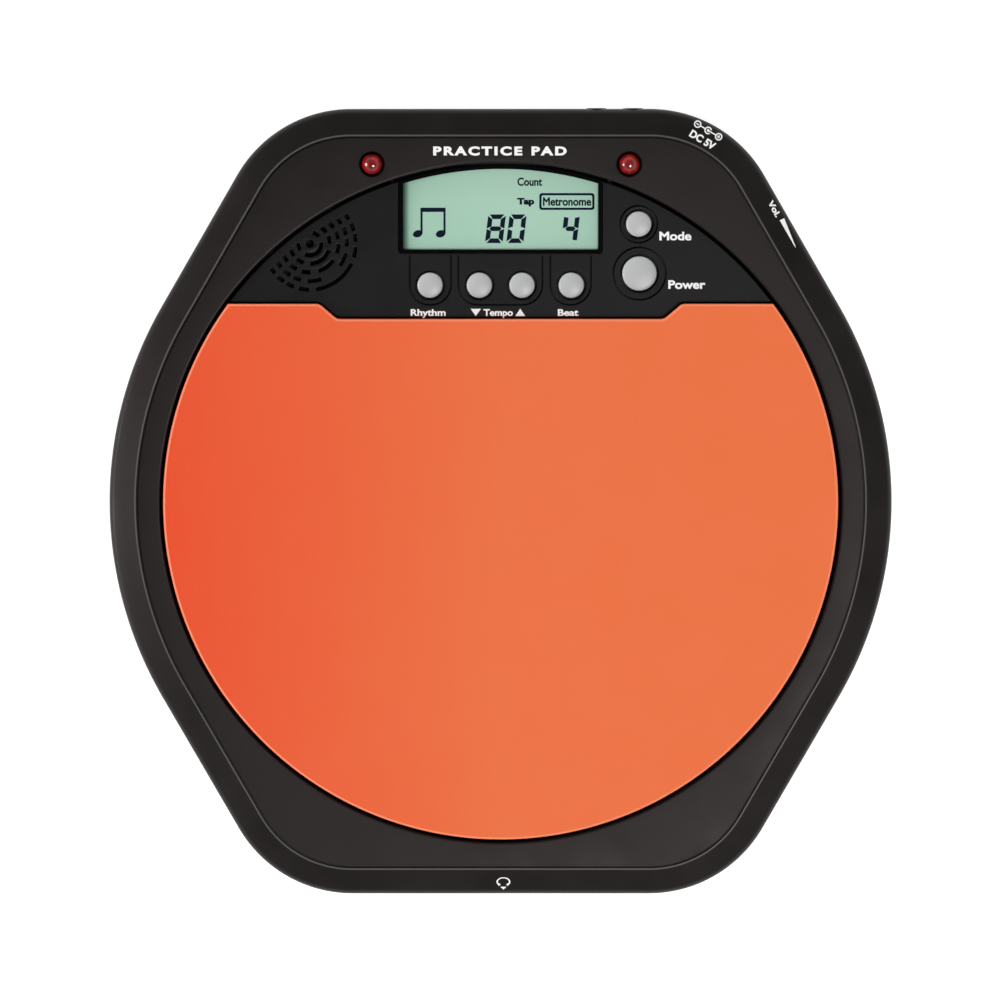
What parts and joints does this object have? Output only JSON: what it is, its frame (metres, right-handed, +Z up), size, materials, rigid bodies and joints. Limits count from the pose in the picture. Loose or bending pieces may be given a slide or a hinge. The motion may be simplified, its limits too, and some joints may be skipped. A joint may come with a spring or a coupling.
{
  "type": "electronic drum practice pad",
  "caption": "Flat tabletop drum practice pad with a rubber playing surface, metronome display, press buttons, speaker grille, status lights, volume wheel and battery bay.",
  "frame": {"origin": "under the middle of the case, in the plane of the bottom of the feet", "axes": "+Z up, +Y from the player towards the display, +X to the player's right"},
  "size_m": [0.28, 0.2817, 0.0269],
  "materials": {
    "case_plastic": "fine textured matt black",
    "panel_plastic": "satin black",
    "clear_lens": "clear, glossy",
    "lcd": "pale green reflective display",
    "white_plastic": "satin white",
    "elastomer": "matt grey",
    "board": "green solder mask",
    "chip_plastic": "matt black",
    "capacitor": "sleeved can",
    "button_plastic": "satin light grey",
    "plunger_plastic": "satin yellow",
    "led_red": "clear red, glossy",
    "steel": "plated",
    "magnet": "dark plated",
    "paper_cone": "black paper",
    "pad_rubber": "fine matt orange",
    "plate_plastic": "plain moulded",
    "foam": "closed-cell foam",
    "brass": "rolled",
    "ceramic": "silvered",
    "knob_plastic": "matt black, notched",
    "cell_sleeve": "printed sleeve",
    "wire": "insulated wire",
    "foot_rubber": "matt black"
  },
  "bodies": {
    "case": {"top_case": "case_plastic", "bottom_case": "case_plastic", "control_panel": "panel_plastic", "lcd_lens": "clear_lens", "lcd_glass": "lcd", "lcd_holder": "chip_plastic", "lcd_reflector": "white_plastic", "zebra_strip": "elastomer", "main_board": "board", "main_chip": "chip_plastic", "board_capacitors": "capacitor", "tact_switches": "chip_plastic", "left_led": "led_red", "right_led": "led_red", "speaker_frame": "magnet", "speaker_magnet": "magnet", "speaker_cone": "paper_cone", "speaker_cap": "paper_cone", "drum_pad": "pad_rubber", "pad_plate": "plate_plastic", "foam_damper": "foam", "piezo_disc": "brass", "piezo_ceramic": "ceramic", "volume_pot": "plate_plastic", "io_board": "board", "dc_jack": "chip_plastic", "dc_jack_pin": "steel", "phones_board": "board", "headphone_jack": "chip_plastic", "battery_cells": "cell_sleeve", "battery_springs": "steel", "battery_plates": "steel", "rubber_feet": "foot_rubber", "case_screws": "steel", "board_screws": "steel", "panel_screws": "steel", "piezo_lead": "wire", "speaker_lead": "wire", "battery_lead": "wire", "phones_lead": "wire", "io_lead": "wire"},
    "rhythm_key": {"rhythm_button": "button_plastic", "rhythm_plunger": "plunger_plastic"},
    "tempo_down_key": {"tempo_down_button": "button_plastic", "tempo_down_plunger": "plunger_plastic"},
    "tempo_up_key": {"tempo_up_button": "button_plastic", "tempo_up_plunger": "plunger_plastic"},
    "beat_key": {"beat_button": "button_plastic", "beat_plunger": "plunger_plastic"},
    "mode_key": {"mode_button": "button_plastic", "mode_plunger": "plunger_plastic"},
    "power_key": {"power_button": "button_plastic", "power_plunger": "plunger_plastic"},
    "volume_knob": {"volume_wheel": "knob_plastic", "volume_shaft": "steel", "wheel_screw": "steel"},
    "battery_cover": {"battery_door": "case_plastic"}
  },
  "joints": [
    {"name": "rhythm_press", "type": "slide", "parent": "case", "child": "rhythm_key", "axis": [0, 0, -1], "range_m": [0, 0.0005], "stiffness_N_per_m": 1000, "springref_m": -0.0005},
    {"name": "tempo_down_press", "type": "slide", "parent": "case", "child": "tempo_down_key", "axis": [0, 0, -1], "range_m": [0, 0.0005], "stiffness_N_per_m": 1000, "springref_m": -0.0005},
    {"name": "tempo_up_press", "type": "slide", "parent": "case", "child": "tempo_up_key", "axis": [0, 0, -1], "range_m": [0, 0.0005], "stiffness_N_per_m": 1000, "springref_m": -0.0005},
    {"name": "beat_press", "type": "slide", "parent": "case", "child": "beat_key", "axis": [0, 0, -1], "range_m": [0, 0.0005], "stiffness_N_per_m": 1000, "springref_m": -0.0005},
    {"name": "mode_press", "type": "slide", "parent": "case", "child": "mode_key", "axis": [0, 0, -1], "range_m": [0, 0.0005], "stiffness_N_per_m": 1000, "springref_m": -0.0005},
    {"name": "power_press", "type": "slide", "parent": "case", "child": "power_key", "axis": [0, 0, -1], "range_m": [0, 0.0005], "stiffness_N_per_m": 1000, "springref_m": -0.0005},
    {"name": "volume_turn", "type": "hinge", "parent": "case", "child": "volume_knob", "pos_m": [0.09487, 0.09288, 0.01], "axis": [0, 0, 1], "range_deg": [-135, 135]},
    {"name": "battery_door_swing", "type": "hinge", "parent": "case", "child": "battery_cover", "pos_m": [0, -0.01, 0.002], "axis": [1, 0, 0], "range_deg": [0, 70]}
  ]
}
